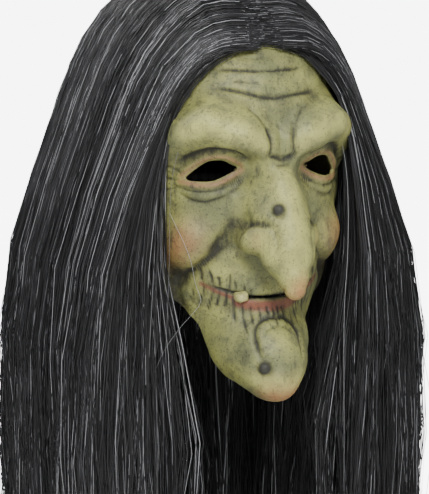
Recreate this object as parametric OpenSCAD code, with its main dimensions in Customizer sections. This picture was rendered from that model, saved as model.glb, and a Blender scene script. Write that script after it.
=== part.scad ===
// Full-hair latex mask: a moulded face skin, a two-panel wig cap with rows of
// sewn hair wefts, five hanging locks of hair, and an elastic head strap.
// Frame: +Z up, the face looks along -Y, the wearer's left is +X.
// The origin is the middle of the wearer's head at eye level.

/* [Head form] */
// Half the width of the skin over the temples
head_half_width = 75; // [62:1:90]
// Distance from the head's middle to the forehead
head_half_depth = 98; // [82:1:116]
// Height of the skin's crown above the widest level
crown_height = 96; // [80:1:115]
// Depth of the lower head form below the widest level
jaw_depth = 185; // [155:1:220]
// Height of the widest level above the eyes
widest_level = 18; // [10:1:26]

/* [Face skin] */
// Thickness of the latex
skin_thickness = 2.4; // [1.6:0.1:3.2]
// How far behind the ears' line the skin reaches, as an angle from the front
skin_rear_angle = 97; // [92:1:104]
// Height of the skin's upper edge, as an angle above the widest level
skin_top_angle = 50; // [46:1:56]
// How far the nose tip reaches forward of the bare form
nose_reach = 35; // [26:1:44]
// How far the nose tip droops
nose_droop = 16; // [10:1:20]
// How far the chin reaches forward of the bare form
chin_reach = 31; // [22:1:38]
// Lowest level that the chin squashes towards
chin_floor = -135; // [-150:1:-130]
// Distance between the middles of the eye holes
eye_spacing = 69; // [62:1:82]
// Width of an eye hole
eye_width = 30; // [24:1:38]
// Height of an eye hole
eye_height = 13; // [9:0.5:17]
// Outward drop of an eye hole, in degrees
eye_slant = 12; // [0:1:16]
// Width of the mouth slit
mouth_width = 46; // [34:1:56]
// Height of the mouth slit
mouth_gap = 3; // [2:0.5:5]
// Height of the mouth slit's middle
mouth_level = -75; // [-81:1:-71]
// Radius of a nostril hole
nostril_radius = 3; // [2:0.25:4]
// Radius of the tooth stump
tooth_radius = 3.6; // [2.5:0.1:5]
// Length of the tooth stump
tooth_length = 13; // [9:0.5:18]

/* [Wig cap] */
// Thickness of the cap cloth
cap_thickness = 1.1; // [0.6:0.1:1.8]
// Glue line between layers
glue_gap = 0.45; // [0.35:0.05:0.7]
// Distance from the head's middle to the cap's front edge, over the forehead
cap_front = 66; // [54:1:74]
// The same distance, at the temples
cap_temple = 34; // [20:1:40]
// Thickness of the tape that a row of hair is sewn to
tape_thickness = 0.9; // [0.6:0.1:1.4]
// Width of that tape
tape_width = 6; // [4:0.5:9]
// Width of the strip under the parting
parting_width = 12; // [8:1:18]
// Width of the bound lower edge of the cap
binding_width = 7; // [5:0.5:10]

/* [Hair] */
// Level where the hair leaves the head and hangs, below the widest level
hang_drop = 30; // [22:1:40]
// Length of the hanging locks
lock_length = 370; // [200:5:460]
// Where the front locks end and the side locks start, along Y
front_split = -26; // [-36:1:-16]
// Where the side locks end and the back lock starts, along Y
back_split = 44; // [34:1:56]
// Clearance between neighbouring locks
lock_gap = 0.8; // [0.5:0.1:2]
// Largest outward swing of a lock, in degrees
lock_swing = 25; // [10:1:30]

/* [Strap] */
// Width of the elastic
strap_width = 20; // [14:1:26]
// Thickness of the elastic
strap_thickness = 1.2; // [0.8:0.1:1.8]
// Level of the strap's middle
strap_level = -32; // [-36:1:-28]
// Distance from the head's middle to the strap's rear run
strap_rear = 78; // [70:1:80]
// Half the length of the strap's straight rear run
strap_run = 34; // [30:1:36]
// Radius of the ring's round bars
ring_bar_radius = 1.6; // [1.2:0.1:2.2]
// Length of the slider along the strap
slider_length = 14; // [10:1:20]
// Clearance of the strap in the slider
slider_clearance = 0.35; // [0.2:0.05:0.6]
// Radius of a rivet's shank
rivet_radius = 1.8; // [1.4:0.1:2.4]
// Radius of a rivet's head
rivet_head = 4; // [3:0.25:5]

/* [Hidden] */

latex = "darkkhaki";
bone = "palegoldenrod";
net = "dimgray";
fibre = "#26262a";
elastic = "black";
plastic = "gray";
steel = "silver";

// Offsets outward from the skin: cap, tape, then hair.
cap_in = glue_gap;
cap_out = cap_in + cap_thickness;
tape_in = cap_out + 0.2;
tape_out = tape_in + tape_thickness;
hair_in = tape_out + 0.5;
layer_gap = 0.25;

// Swell of the hair outside the cap: [height, thickness], where a height above 0 is an angle
// on the dome in degrees and one below 0 is a drop in millimetres.
hair_swell = [[-420, 46], [-130, 50], [-98, 49], [-60, 39], [-28, 28], [0, 15], [10, 9], [29, 5], [90, 5]];
// Front edge of the hair, along Y, over the same heights.
hair_edge = [[-420, -62], [-30, -62], [-21, -66], [5, -72], [20, -76], [29, -80], [36, -90], [90, -120]];
// How far the locks draw in towards the neck under the jaw.
neck_tuck = [[-420, 17], [-200, 16], [-148, 12], [-75, 0], [90, 0]];

// Rows of wefts, as heights on the dome.
row_2 = 45;
row_3 = 17;
row_back = 60;

// Features of the face: [angle round, angle up, width round, width up, width down, push]
features = [
    [0, -20, 9, 9, 5, [0, -nose_reach, -nose_droop]],
    [0, -9, 7, 7, 7, [0, -11, -1]],
    [13, -17, 6, 5, 5, [2, -7, 0]],
    [19, 3, 11, 7, 4, [0, -6, 0]],
    [34, 4, 9, 7, 5, [3, -4, 0]],
    [27, -7, 10, 5, 5, [0, 4, 0]],
    [45, -19, 13, 11, 12, [2, -13, 0]],
    [0, -49, 28, 13, 13, [0, -chin_reach, 0]],
    [42, -38, 20, 12, 12, [6, -2, 0]]
];
chin_squash = 17;

function ramp(x) = x <= 0 ? 0 : x >= 1 ? 1 : x * x * (3 - 2 * x);
function limit(x, low, high) = max(low, min(high, x));
function unit(v) = v / norm(v);

// The form's share of its full width and depth at an angle up: a dome that narrows to the crown.
function dome(h) = pow(cos(h), h > 0 ? 1.12 : 1);
// A point on the head form, pushed out by o.
function form(t, h, o) = [
    (head_half_width + o) * dome(h) * sin(t),
    -(head_half_depth + o) * dome(h) * cos(t),
    widest_level + (h >= 0 ? crown_height + o : jaw_depth) * sin(h)
];

// The pull of one feature at an angle, mirrored where it stands off the middle.
function weight(t, h, f, side) =
    let (dt = (t - side * f[0]) / f[2], dh = (h - f[1]) / (h > f[1] ? f[3] : f[4]))
    exp(-dt * dt - dh * dh);
function pull(t, h, f) =
    f[0] == 0 ? f[5] * weight(t, h, f, 1)
    : let (l = weight(t, h, f, 1), r = weight(t, h, f, -1)) [(l - r) * f[5].x, (l + r) * f[5].y, (l + r) * f[5].z];
function total(list, i = 0) = i == len(list) - 1 ? list[i] : list[i] + total(list, i + 1);
function squashed(z) =
    let (top = chin_floor + chin_squash) z > top ? z : top - chin_squash * (1 - exp((z - top) / chin_squash));
function face(t, h) =
    let (p = form(t, h, 0) + total([for (f = features) pull(t, h, f)])) [p.x, p.y, squashed(p.z)];
function face_inside(t, h, depth) =
    let (n = unit(cross(face(t + 1, h) - face(t - 1, h), face(t, h + 1) - face(t, h - 1))))
    face(t, h) - depth * n;

// Lower edge of the skin: under the chin in front, rising to the ears.
function skin_bottom(t) = -63 + 43 * (1 - exp(-pow(abs(t) / 38, 1.4)));

// The hair: thickness, front edge and points, with f from 0 at the cap to 1 outside.
function swell(h) = lookup(h, hair_swell);
function share_2(h) = 0.62 * ramp((row_2 + 6 - h) / 20);
function share_3(h) = 0.31 * ramp((row_3 + 6 - h) / 14);
function hair_width(h, o) = (head_half_width + o) * (h > 0 ? dome(h) : 1);
function hair_depth(h, o) = (head_half_depth + o) * (h > 0 ? dome(h) : 1);
function hair_point(t, h, o) = [
    hair_width(h, o) * sin(t),
    -hair_depth(h, o) * cos(t),
    widest_level + (h > 0 ? (crown_height + o) * sin(h) : h)
];
// The angle where a plane across Y meets the hair, and where the parting's edge does.
function angle_at(y, h, o) = acos(limit(-y / hair_depth(h, o), -1, 1));
function parting_at(x, h, o) = asin(limit(x / hair_width(h, o), 0, 1));

// A closed solid between two grids of points: rows run up, columns run round from front to rear.
module slab(outer, inner) {
    rows = len(outer);
    cols = len(outer[0]);
    shift = rows * cols;
    flat = [for (r = outer) each r, for (r = inner) each r];
    skins = [for (i = [0:rows - 2], j = [0:cols - 2]) let (a = i * cols + j, b = a + cols) each [
        [a, b, b + 1], [a, b + 1, a + 1],
        [shift + a, shift + b + 1, shift + b], [shift + a, shift + a + 1, shift + b + 1]
    ]];
    ends = [for (j = [0:cols - 2]) let (a = j, b = (rows - 1) * cols + j) each [
        [a, a + 1, shift + a + 1], [a, shift + a + 1, shift + a],
        [b, shift + b + 1, b + 1], [b, shift + b, shift + b + 1]
    ]];
    sides = [for (i = [0:rows - 2]) let (a = i * cols, b = a + cols - 1) each [
        [a, shift + a, shift + a + cols], [a, shift + a + cols, a + cols],
        [b, shift + b + cols, shift + b], [b, b + cols, shift + b + cols]
    ]];
    polyhedron(flat, concat(skins, ends, sides), convexity = 6);
}

function blend(a, b, i, n) = a + (b - a) * i / n;

// ---- Face skin -------------------------------------------------------------

face_angles = [
    for (t = [-skin_rear_angle:8:-42]) t, for (t = [-36:4:-20]) t, for (t = [-17:2.8:17]) t,
    for (t = [20:4:36]) t, for (t = [skin_rear_angle - 56 + 1:8:skin_rear_angle]) t, skin_rear_angle
];
face_rows = 34;

module eye_cut() {
    for (s = [-1, 1])
        translate([s * eye_spacing / 2, -head_half_depth / 2, 0])
            rotate([90, s * eye_slant, 0])
                linear_extrude(head_half_depth)
                    intersection_for(k = [-1, 1])
                        translate([0, k * (pow(eye_width, 2) / 4 - pow(eye_height, 2) / 4) / eye_height])
                            circle(r = (pow(eye_width, 2) / 4 + pow(eye_height, 2) / 4) / eye_height, $fn = 48);
}

module mouth_cut() {
    translate([-mouth_width / 2, -head_half_depth, mouth_level - mouth_gap / 2])
        cube([mouth_width, head_half_depth / 2, mouth_gap]);
    tooth_axis(glue_gap);
}

module nostril_cut() {
    for (s = [-1, 1])
        translate([s * 8, -head_half_depth - 1, mouth_level - 5])
            cylinder(r = nostril_radius, h = 24, $fn = 20);
}

module rivet_cut() {
    for (s = [-1, 1])
        rivet_places(s)
            cylinder(r = rivet_radius + glue_gap, h = 30, $fn = 20);
}

module face_skin() {
    outer = [for (i = [0:face_rows]) [for (t = face_angles) face(t, blend(skin_bottom(t), skin_top_angle, i, face_rows))]];
    inner = [for (i = [0:face_rows]) [for (t = face_angles)
        face_inside(t, blend(skin_bottom(t), skin_top_angle, i, face_rows), skin_thickness)]];
    color(latex) difference() {
        slab(outer, inner);
        eye_cut();
        mouth_cut();
        nostril_cut();
        rivet_cut();
    }
}

// The stump of a tooth stands in the mouth slit, to the wearer's right.
tooth_x = -17;
tooth_y = -83;

module tooth_axis(grow) {
    translate([tooth_x, tooth_y + tooth_length / 2, mouth_level + 1])
        rotate([90, 0, 0])
            cylinder(r = tooth_radius + grow, h = tooth_length + 2 * grow, $fn = 28);
}

module tooth() {
    color(bone)
        translate([tooth_x, tooth_y + tooth_length / 2, mouth_level + 1])
            rotate([90, 0, 0])
                rotate_extrude($fn = 28) {
                    square([tooth_radius, tooth_length - tooth_radius / 2]);
                    square([tooth_radius / 2, tooth_length]);
                    translate([tooth_radius / 2, tooth_length - tooth_radius / 2])
                        circle(r = tooth_radius / 2, $fn = 24);
                }
}

// ---- Wig cap ---------------------------------------------------------------

cap_low = -asin((widest_level + 12) / jaw_depth);
cap_seam = 0.4;
cap_heights = [cap_low, for (h = [-5:5:85]) h, 87];

function form_angle(y, h, o) = acos(limit(-y / ((head_half_depth + o) * dome(h)), -1, 1));
function form_seam(h, o) = asin(limit(cap_seam / ((head_half_width + o) * dome(h)), 0, 1));

// The cap's front edge drops back from the forehead to the temples.
function cap_edge(h) = -lookup(h, [[6, cap_temple], [32, cap_front]]);

function form_grid(heights, o, n) = [for (h = heights)
    let (a = max(form_angle(cap_edge(h), h, o), form_seam(h, o)), b = 180 - form_seam(h, o))
    [for (j = [0:n]) form(blend(a, b, j, n), h, o)]];

module cap_panel() {
    color(net) slab(form_grid(cap_heights, cap_out, 20), form_grid(cap_heights, cap_in, 20));
}

module parting_strip() {
    low = cap_out + 0.35;
    high = low + 0.7;
    function top(y, o) =
        widest_level + (crown_height + o) * sqrt(1 - pow(limit(abs(y) / (head_half_depth + o), 0, 1), 2 / 1.12));
    ys = [for (i = [0:12]) blend(-cap_front + 2, back_split - 4, i, 12)];
    half = parting_width / 2;
    function row(x, o) = [for (y = ys) [x, y, top(y, o) - x * x / head_half_width]];
    color(latex) slab([for (k = [1, 0, -1]) row(k * half, high)], [for (k = [1, 0, -1]) row(k * half, low)]);
}

module nape_binding() {
    low = cap_low - asin(binding_width / jaw_depth);
    heights = [low, (low + cap_low) / 2, cap_low - 0.15];
    angles = [for (i = [0:22]) blend(skin_rear_angle - 20, 360 - skin_rear_angle + 20, i, 22)];
    color(elastic)
        slab([for (h = heights) [for (t = angles) form(t, h, cap_out + 0.6)]],
             [for (h = heights) [for (t = angles) form(t, h, cap_in)]]);
}

function hair_grid(heights, offsets, front, rear, n) = [for (i = [0:len(heights) - 1])
    let (h = heights[i], o = offsets[i],
         a = front == undef ? max(angle_at(lookup(h, hair_edge), h, o), parting_at(1, h, o)) : angle_at(front, h, o),
         b = min(angle_at(rear, h, o), 180 - parting_at(1, h, o)))
    [for (j = [0:n]) hair_point(blend(a, b, j, n), h, o)]];

function back_grid(heights, offsets, front, n) = [for (i = [0:len(heights) - 1])
    let (h = heights[i], o = offsets[i], a = angle_at(front, h, o))
    [for (j = [0:n]) hair_point(blend(a, 360 - a, j, n), h, o)]];

function several(value, list) = [for (h = list) value];

// The side tapes start behind the cap's front edge.
module side_tape(row) {
    heights = [row - tape_half, row, row + tape_half];
    color(elastic)
        slab(hair_grid(heights, several(tape_out, heights), cap_edge(row - tape_half) + 1, back_split - 1, 12),
             hair_grid(heights, several(tape_in, heights), cap_edge(row - tape_half) + 1, back_split - 1, 12));
}

module back_tape(row) {
    heights = [row - tape_half, row, row + tape_half];
    color(elastic)
        slab(back_grid(heights, several(tape_out, heights), back_split + 1, 18),
             back_grid(heights, several(tape_in, heights), back_split + 1, 18));
}

// ---- Hair on the cap -------------------------------------------------------

// The bounds of layer 1 (outside), 2 and 3 (next to the cap) at a height.
function bound(layer, h) = hair_in + swell(h) * (layer == 0 ? 1 : layer == 1 ? share_2(h) : layer == 2 ? share_3(h) : 0);
function layer_out(layer, h) = bound(layer - 1, h) - (layer == 1 ? 0 : layer_gap);
function layer_in(layer, h) = bound(layer, h) + (layer == 3 ? 0 : layer_gap);
// The heights of a layer's rows, from where it hangs free to where it is sewn on.
function layer_heights(top) = [-hang_drop, -hang_drop / 2, for (h = [0, 6, 13, 20, 28, 34, 40, 50, 60, 70, 79, 86]) if (h < top) h, top];

tape_half = tape_width / crown_height * 28.5;
sewn = tape_half + 0.25;
side_tops = [88, row_2 - sewn, row_3 - sewn];
back_tops = [row_back - sewn, row_2 - sewn, row_3 - sewn];

module side_hair(layer) {
    heights = layer_heights(side_tops[layer - 1]);
    color(fibre)
        slab(hair_grid(heights, [for (h = heights) layer_out(layer, h)], undef, back_split, 11),
             hair_grid(heights, [for (h = heights) layer_in(layer, h)], undef, back_split, 11));
}

module back_hair(layer) {
    heights = layer_heights(back_tops[layer - 1]);
    color(fibre)
        slab(back_grid(heights, [for (h = heights) layer_out(layer, h)], back_split + lock_gap, 14),
             back_grid(heights, [for (h = heights) layer_in(layer, h)], back_split + lock_gap, 14));
}

// ---- Hanging locks ---------------------------------------------------------

lock_steps = [0, 0.09, 0.19, 0.32, 0.5, 0.75, 1];
lock_taper = 0.3;
// Where each lock's pivot stands, across X for the sides and along Y for the back.
front_pivot = 70;
side_pivot = 86;
back_pivot = 84;

function lock_height(s) = -hang_drop - s * lock_length;
function taper(s) = 1 - lock_taper * ramp((s - 0.7) / 0.3);
function lock_out(s) = hair_in + swell(lock_height(s)) * taper(s);
function lock_in(s) = hair_in + swell(lock_height(s)) * (1 - taper(s)) * 0.5 - lookup(lock_height(s), neck_tuck);
// The top of a lock slopes away outside its pivot, so that it can swing up.
function cleared(p, s, reach) =
    p - [0, 0, (1 - ramp(s / 0.19)) * (lock_gap + max(0, reach) * tan(lock_swing + 1))];

module side_lock(front, rear, pivot) {
    function placed(grid, n) = [for (i = [0:len(grid) - 1]) [for (p = grid[i]) cleared(p, n[i], abs(p.x) - pivot)]];
    steps = [for (i = [len(lock_steps) - 1:-1:0]) lock_steps[i]];
    heights = [for (s = steps) lock_height(s)];
    color(fibre)
        slab(placed(hair_grid(heights, [for (s = steps) lock_out(s)], front, rear, 7), steps),
             placed(hair_grid(heights, [for (s = steps) lock_in(s)], front, rear, 7), steps));
}

module lock_front() {
    side_lock(undef, front_split - lock_gap / 2, front_pivot);
}

module lock_side() {
    side_lock(front_split + lock_gap / 2, back_split - lock_gap / 2, side_pivot);
}

module lock_back() {
    function placed(grid, n) = [for (i = [0:len(grid) - 1]) [for (p = grid[i]) cleared(p, n[i], p.y - back_pivot)]];
    steps = [for (i = [len(lock_steps) - 1:-1:0]) lock_steps[i]];
    heights = [for (s = steps) lock_height(s)];
    color(fibre)
        slab(placed(back_grid(heights, [for (s = steps) lock_out(s)], back_split + lock_gap / 2, 16), steps),
             placed(back_grid(heights, [for (s = steps) lock_in(s)], back_split + lock_gap / 2, 16), steps));
}

// ---- Elastic strap ---------------------------------------------------------

strap_low = strap_level - strap_width / 2;
strap_front = -10;
tab_half = 12;
tab_reach = asin(14 / head_half_depth);
function level_angle(z) = -asin((widest_level - z) / jaw_depth);
// The pads inside the skin have flat inner faces, which the strap lies against.
pad_x = form(90 + tab_reach, level_angle(strap_level - tab_half), 0).x - skin_thickness - glue_gap - 1.2;
strap_side = pad_x - 0.2 - strap_thickness;
// The rear run has two layers, one each side of the ring's bars.
bar_y = strap_rear + strap_thickness + glue_gap / 3 + ring_bar_radius;
wrap_in = ring_bar_radius + glue_gap / 3;
wrap_out = wrap_in + strap_thickness;
ring_x = [-26, -18];
tail_end = 26;
fold_end = -38;
slider_x = 4;

// A strap half in plan: forward end, two bends, rear run, turn round the ring's bar, then the
// layer that comes back. The line is the strap's inner face.
function bend(a, corner, b) = [for (i = [0:8]) let (k = i / 8)
    (1 - k) * (1 - k) * a + 2 * k * (1 - k) * corner + k * k * b];
function strap_line(bar_x, tail_x) = let (
        first = [strap_side, 22], second = [strap_run, strap_rear], along = unit(second - first))
    concat([[strap_side, strap_front]], bend(first - [0, 12], first, first + 12 * along),
           bend(second - 16 * along, second, second - [6, 0]),
           [for (a = [-90:-15:-270]) [bar_x, bar_y] + wrap_out * [cos(a), sin(a)]],
           [[tail_x, bar_y + wrap_out]]);
function across(line, i) =
    let (d = unit(line[min(i + 1, len(line) - 1)] - line[max(i - 1, 0)]))
    line[i] + strap_thickness * [d.y, -d.x];

// A strap half on the wearer's left.
module strap(bar_x, tail_x) {
    line = strap_line(bar_x, tail_x);
    last = len(line) - 1;
    color(elastic) difference() {
        translate([0, 0, strap_low])
            linear_extrude(strap_width)
                polygon(concat(line, [for (i = [last:-1:0]) across(line, i)]));
        rivet_places(1) cylinder(r = rivet_radius + 0.1, h = 30, $fn = 24);
    }
}

module strap_ring() {
    reach = strap_width / 2 + 1 + ring_bar_radius;
    color(steel) {
        for (x = ring_x)
            translate([x, bar_y, strap_level - reach])
                cylinder(r = ring_bar_radius, h = 2 * reach, $fn = 32);
        for (s = [-1, 1])
            translate([ring_x[0], bar_y, strap_level + s * reach])
                rotate([0, 90, 0])
                    cylinder(r = ring_bar_radius, h = ring_x[1] - ring_x[0], $fn = 32);
        for (x = ring_x, s = [-1, 1])
            translate([x, bar_y, strap_level + s * reach])
                sphere(r = ring_bar_radius, $fn = 32);
    }
}

module strap_slider() {
    wall = 1.4;
    slot = strap_thickness + 2 * slider_clearance;
    slot_tall = strap_width + 2 * slider_clearance;
    middle = 2 * wrap_in - 2 * slider_clearance;
    depth = middle + 2 * slot + 2 * wall;
    tall = slot_tall + 2 * 2;
    color(plastic)
        difference() {
            translate([slider_x - slider_length / 2, bar_y - depth / 2, strap_level - tall / 2])
                cube([slider_length, depth, tall]);
            for (s = [-1, 1])
                translate([slider_x - slider_length, bar_y + s * (middle / 2 + slot / 2) - slot / 2, strap_level - slot_tall / 2])
                    cube([2 * slider_length, slot, slot_tall]);
        }
}

// The rivets' places, from the inside of the strap outward.
rivet_pitch = 10;
module rivet_place(side, end) {
    translate([side * (strap_side - 1.5), end * rivet_pitch / 2, strap_level])
        rotate([0, side * 90, 0])
            children();
}
module rivet_places(side) {
    for (end = [-1, 1])
        rivet_place(side, end) children();
}

module strap_tab(side) {
    low = skin_thickness + glue_gap;
    span = [for (i = [0:4]) blend(90 - tab_reach, min(90 + tab_reach, skin_rear_angle - 1), i, 4)];
    heights = [for (i = [0:3]) level_angle(strap_level + blend(-tab_half, tab_half, i, 3))];
    outer = [for (h = heights) [for (t = span) face_inside(t, h, low)]];
    color(latex) mirror([side > 0 ? 0 : 1, 0, 0]) difference() {
        slab(outer, [for (row = outer) [for (p = row) [pad_x, p.y, p.z]]]);
        rivet_places(1) cylinder(r = rivet_radius + glue_gap, h = 30, $fn = 20);
    }
}

module rivet(side, end) {
    grip = face(90, level_angle(strap_level)).x + 0.8 - (strap_side - 1.5);
    color(steel)
        rivet_place(side, end) {
            translate([0, 0, 0.1]) cylinder(r = rivet_head, h = 1.2, $fn = 32);
            translate([0, 0, 0.6]) cylinder(r = rivet_radius, h = grip, $fn = 24);
            translate([0, 0, grip]) cylinder(r = rivet_head, h = 1.2, $fn = 32);
        }
}

// ---- Nodes -----------------------------------------------------------------

face_skin();
tooth();
cap_panel();  // cap_panel_left
mirror([1, 0, 0]) cap_panel();  // cap_panel_right
parting_strip();
nape_binding();
side_tape(row_2);  // weft_tape_left_2
side_tape(row_3);  // weft_tape_left_3
mirror([1, 0, 0]) side_tape(row_2);  // weft_tape_right_2
mirror([1, 0, 0]) side_tape(row_3);  // weft_tape_right_3
back_tape(row_back);  // weft_tape_back_1
back_tape(row_2);  // weft_tape_back_2
back_tape(row_3);  // weft_tape_back_3
side_hair(1);  // hair_left_1
side_hair(2);  // hair_left_2
side_hair(3);  // hair_left_3
mirror([1, 0, 0]) side_hair(1);  // hair_right_1
mirror([1, 0, 0]) side_hair(2);  // hair_right_2
mirror([1, 0, 0]) side_hair(3);  // hair_right_3
back_hair(1);  // hair_back_1
back_hair(2);  // hair_back_2
back_hair(3);  // hair_back_3
lock_front();  // lock_front_left
mirror([1, 0, 0]) lock_front();  // lock_front_right
lock_side();  // lock_side_left
mirror([1, 0, 0]) lock_side();  // lock_side_right
lock_back();
strap_tab(1);  // strap_tab_left
strap_tab(-1);  // strap_tab_right
strap(ring_x[1], tail_end);  // strap_left
mirror([1, 0, 0]) strap(-ring_x[0], -fold_end);  // strap_right
strap_ring();
strap_slider();
rivet(1, -1);  // rivet_left_front
rivet(1, 1);  // rivet_left_rear
rivet(-1, -1);  // rivet_right_front
rivet(-1, 1);  // rivet_right_rear
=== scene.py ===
# %% [markdown]
# # A latex hag mask with long hair
# The mask is a painted latex skin with a cloth wig cap glued over its edge. Long straight fibre is sewn to
# the cap in rows. The imported model holds the real sizes and the bodies that move, so every piece here is
# made in the same frame, in metres. The skin, the sewn pieces, the seams and the tooth ride on one of those
# bodies; the hair is left unparented.

# %% Load the frame
import math

import bmesh
import bpy
import numpy as np
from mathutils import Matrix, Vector


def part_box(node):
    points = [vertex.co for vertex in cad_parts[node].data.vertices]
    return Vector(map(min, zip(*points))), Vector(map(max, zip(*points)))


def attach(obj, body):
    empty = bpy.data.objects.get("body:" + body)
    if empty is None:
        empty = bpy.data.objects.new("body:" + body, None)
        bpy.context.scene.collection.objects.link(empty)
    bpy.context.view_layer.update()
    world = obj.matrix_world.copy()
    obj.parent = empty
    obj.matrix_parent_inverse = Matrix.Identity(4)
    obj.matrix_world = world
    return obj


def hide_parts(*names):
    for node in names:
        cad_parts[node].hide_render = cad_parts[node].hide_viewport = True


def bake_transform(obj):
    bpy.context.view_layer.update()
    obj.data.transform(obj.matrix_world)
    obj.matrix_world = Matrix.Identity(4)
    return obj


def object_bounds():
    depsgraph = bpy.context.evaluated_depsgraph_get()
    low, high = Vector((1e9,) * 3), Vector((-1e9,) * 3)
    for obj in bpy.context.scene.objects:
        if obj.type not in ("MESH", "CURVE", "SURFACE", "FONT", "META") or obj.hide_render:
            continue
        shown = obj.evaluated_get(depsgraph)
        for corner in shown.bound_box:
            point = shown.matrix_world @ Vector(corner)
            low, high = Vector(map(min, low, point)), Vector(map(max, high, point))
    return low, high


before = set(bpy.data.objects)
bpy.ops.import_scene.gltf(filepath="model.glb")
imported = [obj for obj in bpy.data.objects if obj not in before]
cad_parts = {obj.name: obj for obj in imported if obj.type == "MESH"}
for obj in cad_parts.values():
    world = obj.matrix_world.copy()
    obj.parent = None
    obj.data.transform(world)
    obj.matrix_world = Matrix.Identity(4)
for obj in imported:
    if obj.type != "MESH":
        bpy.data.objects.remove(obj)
cad_low, cad_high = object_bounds()
MM = 0.001
print("CAD box in mm:", [round(v / MM) for v in cad_low], [round(v / MM) for v in cad_high])

# %% [markdown]
# ## Camera and studio
# A long lens from a metre away keeps the face free of distortion. The camera stands a little to the
# wearer's right and a little above the eyes, and it is the same in every later step, so it comes first.

# %% Camera
AZIMUTH, ELEVATION = math.radians(-24), math.radians(9)
AIM = Vector((-0.0365, -0.0912, -0.0429))
STAND_OFF = 1.160
FOCAL_LENGTH, SENSOR_WIDTH = 148, 36
back = Vector((math.sin(AZIMUTH) * math.cos(ELEVATION), -math.cos(AZIMUTH) * math.cos(ELEVATION),
               math.sin(ELEVATION)))
camera_data = bpy.data.cameras.new("camera")
camera_data.lens = FOCAL_LENGTH
camera_data.sensor_width = SENSOR_WIDTH
camera_data.clip_end = 20
camera = bpy.data.objects.new("camera", camera_data)
camera.location = AIM + STAND_OFF * back
camera.rotation_euler = back.to_track_quat("Z", "Y").to_euler()
bpy.context.collection.objects.link(camera)
bpy.context.scene.camera = camera
print("camera at", [round(v, 3) for v in camera.location])

# %% [markdown]
# ## A small language for materials
# Shader maths reads best as ordinary sums. One small class wraps a node's output, so that
# `mask * 0.5 + noise` adds the Math nodes by itself, and one method adds any other node.

# %% Sockets that add up
class Wire:
    """An output of a node, or an expression made from outputs."""

    def __init__(self, kit, socket):
        self.kit, self.socket = kit, socket

    def _math(self, operation, *values):
        return self.kit.node("ShaderNodeMath", {"operation": operation}, dict(enumerate(values)))

    def __add__(self, other): return self._math("ADD", self, other)
    def __radd__(self, other): return self._math("ADD", other, self)
    def __sub__(self, other): return self._math("SUBTRACT", self, other)
    def __rsub__(self, other): return self._math("SUBTRACT", other, self)
    def __mul__(self, other): return self._math("MULTIPLY", self, other)
    def __rmul__(self, other): return self._math("MULTIPLY", other, self)

    def top(self, other): return self._math("MAXIMUM", self, other)
    def low(self, other): return self._math("MINIMUM", self, other)

    def ramp(self, start, end):
        """0 at start and 1 at end, smooth between them."""
        return self.kit.node("ShaderNodeMapRange", {"interpolation_type": "SMOOTHSTEP"},
                             {"Value": self, "From Min": start, "From Max": end})


# %% [markdown]
# Every finish here is one Principled shader with some values set once and others fed by nodes, so one
# class builds them all. It starts from the constants and then adds noise, mixes and bumps by name.

# %% A material in the making
class Finish:
    """A material being built round one Principled shader."""

    def __init__(self, name, **constants):
        self.material = bpy.data.materials.new(name)
        self.material.use_nodes = True
        self.tree = self.material.node_tree
        self.shader = next(n for n in self.tree.nodes if n.type == "BSDF_PRINCIPLED")
        for socket, value in constants.items():
            self.shader.inputs[socket.replace("_", " ")].default_value = value

    def node(self, kind, settings=None, inputs=None, output=0):
        made = self.tree.nodes.new(kind)
        for name, value in (settings or {}).items():
            setattr(made, name, value)
        for key, value in (inputs or {}).items():
            socket = made.inputs[key]
            if isinstance(value, Wire):
                self.tree.links.new(value.socket, socket)
            elif isinstance(value, tuple) and socket.type == "RGBA":
                socket.default_value = (*value, 1)[:4]
            else:
                socket.default_value = value
        return Wire(self, made.outputs[output])

    def feed(self, name, wire):
        self.tree.links.new(wire.socket, self.shader.inputs[name])

    def place(self):
        return self.node("ShaderNodeTexCoord", output="Object")

    def noise(self, scale, detail=3.0, at=None, stretch=None, rough=0.55):
        at = at or self.place()
        if stretch:
            at = self.node("ShaderNodeMapping", None, {"Vector": at, "Scale": stretch})
        return self.node("ShaderNodeTexNoise", None,
                         {"Vector": at, "Scale": scale, "Detail": detail, "Roughness": rough})

    def attribute(self, name):
        return self.node("ShaderNodeAttribute", {"attribute_name": name}, output="Fac")

    def mix(self, amount, a, b):
        return self.node("ShaderNodeMix", {"data_type": "RGBA"}, {"Factor": amount, 6: a, 7: b}, output=2)

    def bump(self, height, distance, strength=1.0):
        return self.node("ShaderNodeBump", None,
                         {"Height": height, "Distance": distance, "Strength": strength})


# %% [markdown]
# ## The studio
# A wide white floor stands a little under the hair's ends. It glows only where the camera sees it,
# like an overlit studio sweep, so that it adds no light of its own. Large soft lamps keep the shadows
# gentle: one big key beside the camera, a fill from the other side and one behind for the hair.

# %% Floor, world and lamps
def plain_plate(name, half, z):
    mesh = bpy.data.meshes.new(name)
    bm = bmesh.new()
    bmesh.ops.create_grid(bm, x_segments=1, y_segments=1, size=half)
    bmesh.ops.translate(bm, verts=bm.verts, vec=(0, 0, z))
    bm.to_mesh(mesh)
    bm.free()
    plate = bpy.data.objects.new(name, mesh)
    bpy.context.collection.objects.link(plate)
    return plate


FLOOR_HALF, FLOOR_DROP = 40, 0.012
paper = Finish("studio paper", Base_Color=(0.86, 0.86, 0.86, 1), Roughness=0.9, Emission_Strength=7.0)
straight_on = paper.node("ShaderNodeLightPath", output="Is Camera Ray")
paper.feed("Emission Color", paper.mix(straight_on, (0, 0, 0), (1, 1, 1)))
floor = plain_plate("studio floor", FLOOR_HALF, cad_low[2] - FLOOR_DROP)
floor.data.materials.append(paper.material)

world = bpy.data.worlds.new("studio air")
world.use_nodes = True
world.node_tree.nodes["Background"].inputs["Color"].default_value = (1, 1, 1, 1)
world.node_tree.nodes["Background"].inputs["Strength"].default_value = 0.42
bpy.context.scene.world = world


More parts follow.
